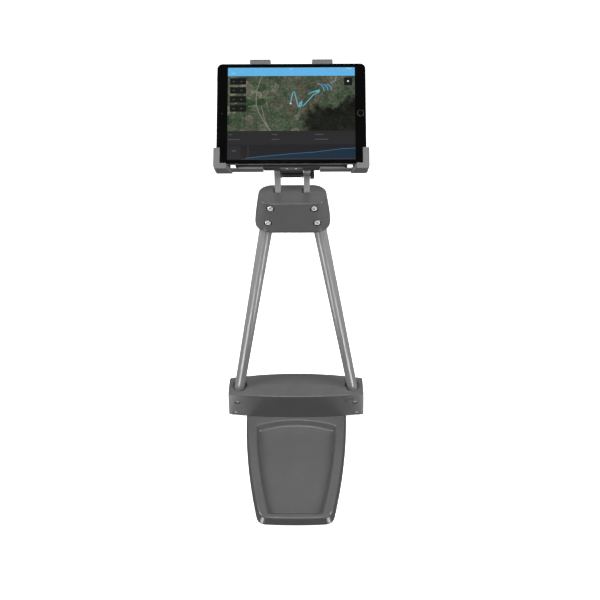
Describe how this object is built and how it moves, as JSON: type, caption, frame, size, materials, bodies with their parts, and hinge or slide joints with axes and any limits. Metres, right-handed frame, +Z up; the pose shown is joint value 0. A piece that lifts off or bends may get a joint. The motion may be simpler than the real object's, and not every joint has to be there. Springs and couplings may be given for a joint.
{
  "type": "tablet computer on a floor stand",
  "caption": "Tablet computer held in a tilting edge-grip holder on a floor stand with a weighted foot plate, crossbar and leaning tubes.",
  "frame": {"origin": "centre of the bounding box on the floor that the foot stands on", "axes": "+Z up; +X to the right of a person facing the screen; +Y away from that person"},
  "size_m": [0.346, 0.433, 0.8991],
  "materials": {
    "grey_plastic": "fine moulded texture, satin",
    "holder_plastic": "fine moulded texture, satin",
    "black_plastic": "moulded, satin",
    "tube_steel": "satin metallic grey coating",
    "bar_steel": "satin grey coating",
    "zinc_fastener": "bright zinc plating",
    "ballast_steel": "dull painted plate",
    "rubber_pad": "matte rubber",
    "tablet_aluminium": "bead-blasted, anodised grey",
    "bezel_glass": "polished black-backed glass",
    "button_glass": "polished black disc with a thin metal ring",
    "camera_glass": "polished dark lens",
    "display_panel": null,
    "battery_pack": "foil pouch",
    "circuit_board": "solder mask"
  },
  "bodies": {
    "stand": {"ballast_plate": "ballast_steel", "crossbar_front_shell": "grey_plastic", "crossbar_rear_shell": "grey_plastic", "foot_nut_lower_left": "zinc_fastener", "foot_nut_lower_right": "zinc_fastener", "foot_nut_upper_left": "zinc_fastener", "foot_nut_upper_right": "zinc_fastener", "foot_pad_front_left": "rubber_pad", "foot_pad_front_right": "rubber_pad", "foot_pad_rear_left": "rubber_pad", "foot_pad_rear_right": "rubber_pad", "foot_plate": "grey_plastic", "foot_screw_lower_left": "zinc_fastener", "foot_screw_lower_right": "zinc_fastener", "foot_screw_upper_left": "zinc_fastener", "foot_screw_upper_right": "zinc_fastener", "head_front_shell": "grey_plastic", "head_nut_lower_left": "zinc_fastener", "head_nut_lower_right": "zinc_fastener", "head_nut_upper_left": "zinc_fastener", "head_nut_upper_right": "zinc_fastener", "head_rear_shell": "grey_plastic", "head_screw_lower_left": "zinc_fastener", "head_screw_lower_right": "zinc_fastener", "head_screw_upper_left": "zinc_fastener", "head_screw_upper_right": "zinc_fastener", "tube_left": "tube_steel", "tube_right": "tube_steel"},
    "bracket": {"bar_left": "bar_steel", "bar_right": "bar_steel", "bar_bridge": "bar_steel", "hinge_bolt": "zinc_fastener", "spacer_sleeve": "black_plastic"},
    "lever": {"clamp_lever": "black_plastic", "lever_insert": "zinc_fastener"},
    "holder": {"hinge_bracket": "black_plastic", "bracket_cover": "holder_plastic", "lower_rail": "black_plastic", "holder_spine": "black_plastic", "tablet_housing": "tablet_aluminium", "front_glass": "bezel_glass", "display_panel": "display_panel", "battery": "battery_pack", "logic_board": "circuit_board", "front_camera": "camera_glass", "rear_camera": "camera_glass"},
    "left_arm": {"arm_left": "holder_plastic", "arm_pad_left": "rubber_pad"},
    "right_arm": {"arm_right": "holder_plastic", "arm_pad_right": "rubber_pad"},
    "upper_clamp": {"upper_slider": "black_plastic", "hook_left": "holder_plastic", "hook_right": "holder_plastic"},
    "knob": {"lock_knob": "black_plastic"},
    "home_key": {"home_button": "button_glass"},
    "power_key": {"power_button": "tablet_aluminium"},
    "volume_up_key": {"volume_up_button": "tablet_aluminium"},
    "volume_down_key": {"volume_down_button": "tablet_aluminium"}
  },
  "joints": [
    {"name": "height_slide", "type": "slide", "parent": "stand", "child": "bracket", "axis": [0, 0, 1], "range_m": [-0.015, 0.03]},
    {"name": "lever_turn", "type": "hinge", "parent": "bracket", "child": "lever", "pos_m": [0, 0.10209, 0.7343], "axis": [1, 0, 0], "range_deg": [-60, 75]},
    {"name": "tilt", "type": "hinge", "parent": "bracket", "child": "holder", "pos_m": [0, 0.10209, 0.7343], "axis": [1, 0, 0], "range_deg": [-35, 50]},
    {"name": "left_arm_slide", "type": "slide", "parent": "holder", "child": "left_arm", "axis": [-1, 0, 0], "range_m": [0, 0.028]},
    {"name": "right_arm_slide", "type": "slide", "parent": "holder", "child": "right_arm", "axis": [1, 0, 0], "range_m": [0, 0.028]},
    {"name": "upper_clamp_slide", "type": "slide", "parent": "holder", "child": "upper_clamp", "axis": [0, 0.7869, 0.617], "range_m": [0, 0.035]},
    {"name": "lock_knob_turn", "type": "hinge", "parent": "holder", "child": "knob", "pos_m": [0, 0.16384, 0.82401], "axis": [0, 0.617, -0.7869], "range_deg": [-180, 180]},
    {"name": "home_press", "type": "slide", "parent": "holder", "child": "home_key", "axis": [0, 0.617, -0.7869], "range_m": [0, 0.0004], "stiffness_N_per_m": 400, "springref_m": -0.0005},
    {"name": "power_press", "type": "slide", "parent": "holder", "child": "power_key", "axis": [1, 0, 0], "range_m": [0, 0.0004], "stiffness_N_per_m": 400, "springref_m": -0.0005},
    {"name": "volume_up_press", "type": "slide", "parent": "holder", "child": "volume_up_key", "axis": [0, -0.7869, -0.617], "range_m": [0, 0.0004], "stiffness_N_per_m": 400, "springref_m": -0.0005},
    {"name": "volume_down_press", "type": "slide", "parent": "holder", "child": "volume_down_key", "axis": [0, -0.7869, -0.617], "range_m": [0, 0.0004], "stiffness_N_per_m": 400, "springref_m": -0.0005}
  ]
}
